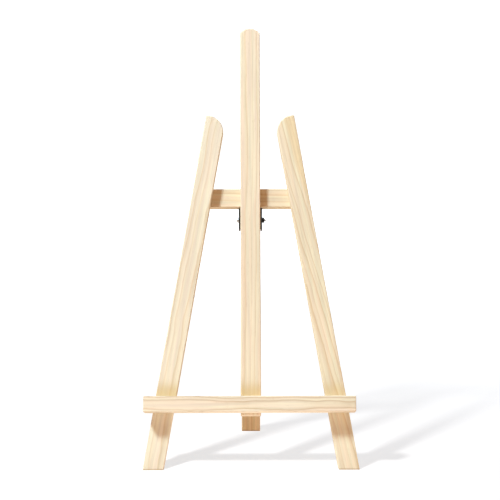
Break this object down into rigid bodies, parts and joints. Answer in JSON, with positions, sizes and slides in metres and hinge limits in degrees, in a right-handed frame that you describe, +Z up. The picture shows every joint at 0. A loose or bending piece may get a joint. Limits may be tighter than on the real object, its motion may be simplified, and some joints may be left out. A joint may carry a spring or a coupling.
{
  "type": "tabletop display easel",
  "caption": "Tabletop A-frame easel of pine lath with a ledge in front and a hinged rear leg that folds; holds a plate, book, picture or small canvas.",
  "frame": {"origin": "on the floor below the middle of the bounding box of the open easel", "axes": "+X to the right seen from the front, +Y to the back, towards the rear leg, +Z up"},
  "size_m": [0.253, 0.2096, 0.5167],
  "materials": {
    "pine_pale": "bare sanded pine",
    "pine_warm": "bare sanded pine, yellower",
    "bracket_steel": "dark bronze-black satin",
    "zinc_steel": "bright zinc plate",
    "black_steel": "black oxide",
    "screw_steel": "zinc plate"
  },
  "bodies": {
    "a_frame": {"centre_mast": "pine_pale", "left_leg": "pine_pale", "right_leg": "pine_warm", "crossbar": "pine_warm", "ledge": "pine_pale", "hinge_bracket": "bracket_steel", "pivot_screw": "zinc_steel", "pivot_nut": "black_steel", "bracket_screw_upper": "screw_steel", "bracket_screw_lower": "screw_steel", "crossbar_screw_left_upper": "screw_steel", "crossbar_screw_left_lower": "screw_steel", "crossbar_screw_centre_upper": "screw_steel", "crossbar_screw_centre_lower": "screw_steel", "crossbar_screw_right_upper": "screw_steel", "crossbar_screw_right_lower": "screw_steel", "ledge_screw_left": "screw_steel", "ledge_screw_centre": "screw_steel", "ledge_screw_right": "screw_steel"},
    "rear_leg": {"rear_leg": "pine_warm"}
  },
  "joints": [
    {"name": "rear_leg_fold", "type": "hinge", "parent": "a_frame", "child": "rear_leg", "pos_m": [0, 0.00239, 0.28291], "axis": [1, 0, 0], "range_deg": [-35.55, 0]}
  ]
}
